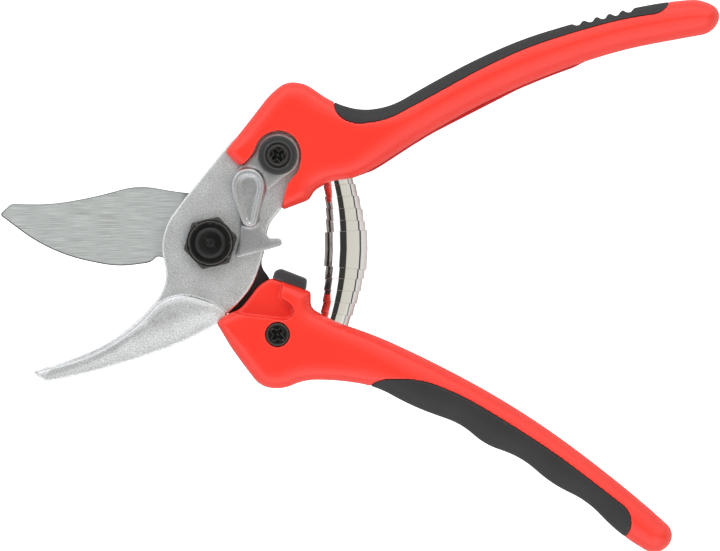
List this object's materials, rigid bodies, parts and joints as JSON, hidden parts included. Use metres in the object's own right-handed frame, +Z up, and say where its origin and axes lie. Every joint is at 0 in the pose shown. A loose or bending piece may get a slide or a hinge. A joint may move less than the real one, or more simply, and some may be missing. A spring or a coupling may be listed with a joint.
{
  "type": "pruning shears",
  "caption": "Bypass pruning shears with a curved blade, a hooked counter-blade, two padded handles, a volute spring and a safety catch, lying open on their side.",
  "frame": {"origin": "on the pivot axis, at the flat underside of the pivot bolt's head, level with the undersides of both handles", "axes": "+Z up along the pivot axis, out of the nut side; +X from the pivot towards the handles; the blades point towards -X; the upper handle is on the +Y side"},
  "size_m": [0.2065, 0.1587, 0.0199],
  "materials": {
    "cast_aluminium": "bead-blasted casting, fine grain",
    "red_shell": "satin coral red moulded shell",
    "grip_rubber": "matt charcoal soft grip",
    "bumper_rubber": "matt dark rubber",
    "blade_steel": "ground lengthways, bright bevel",
    "black_steel": "black oxide",
    "plain_steel": "zinc plated",
    "spring_steel": "polished nickel strip",
    "bronze": "turned bronze",
    "bearing_polymer": "plain black polymer",
    "black_polymer": "plain black polymer"
  },
  "bodies": {
    "counter_blade_side": {"counter_blade": "cast_aluminium", "upper_handle": "red_shell", "upper_grip": "grip_rubber", "pivot_bolt": "black_steel", "steel_washer": "plain_steel", "bearing_washer": "bearing_polymer", "pivot_bush": "bronze", "pivot_nut": "black_steel", "nut_cap": "black_polymer", "catch_wave_washer": "plain_steel", "catch_bush": "black_polymer", "catch_screw": "black_steel", "catch_nut": "plain_steel", "volute_spring": "spring_steel"},
    "blade_side": {"blade": "blade_steel", "lower_handle": "red_shell", "lower_grip": "grip_rubber", "bumper": "bumper_rubber", "blade_screw": "black_steel", "blade_nut": "plain_steel"},
    "catch": {"catch_lever": "cast_aluminium"}
  },
  "joints": [
    {"name": "shear_pivot", "type": "hinge", "parent": "counter_blade_side", "child": "blade_side", "pos_m": [0, 0, 0], "axis": [0, 0, 1], "range_deg": [0, 43.5], "stiffness_Nm_per_rad": 1.5, "springref_deg": -14.32, "deforming": ["volute_spring"]},
    {"name": "catch_pivot", "type": "hinge", "parent": "counter_blade_side", "child": "catch", "pos_m": [0.0193, 0.0251, 0], "axis": [0, 0, 1], "range_deg": [0, 16]}
  ]
}
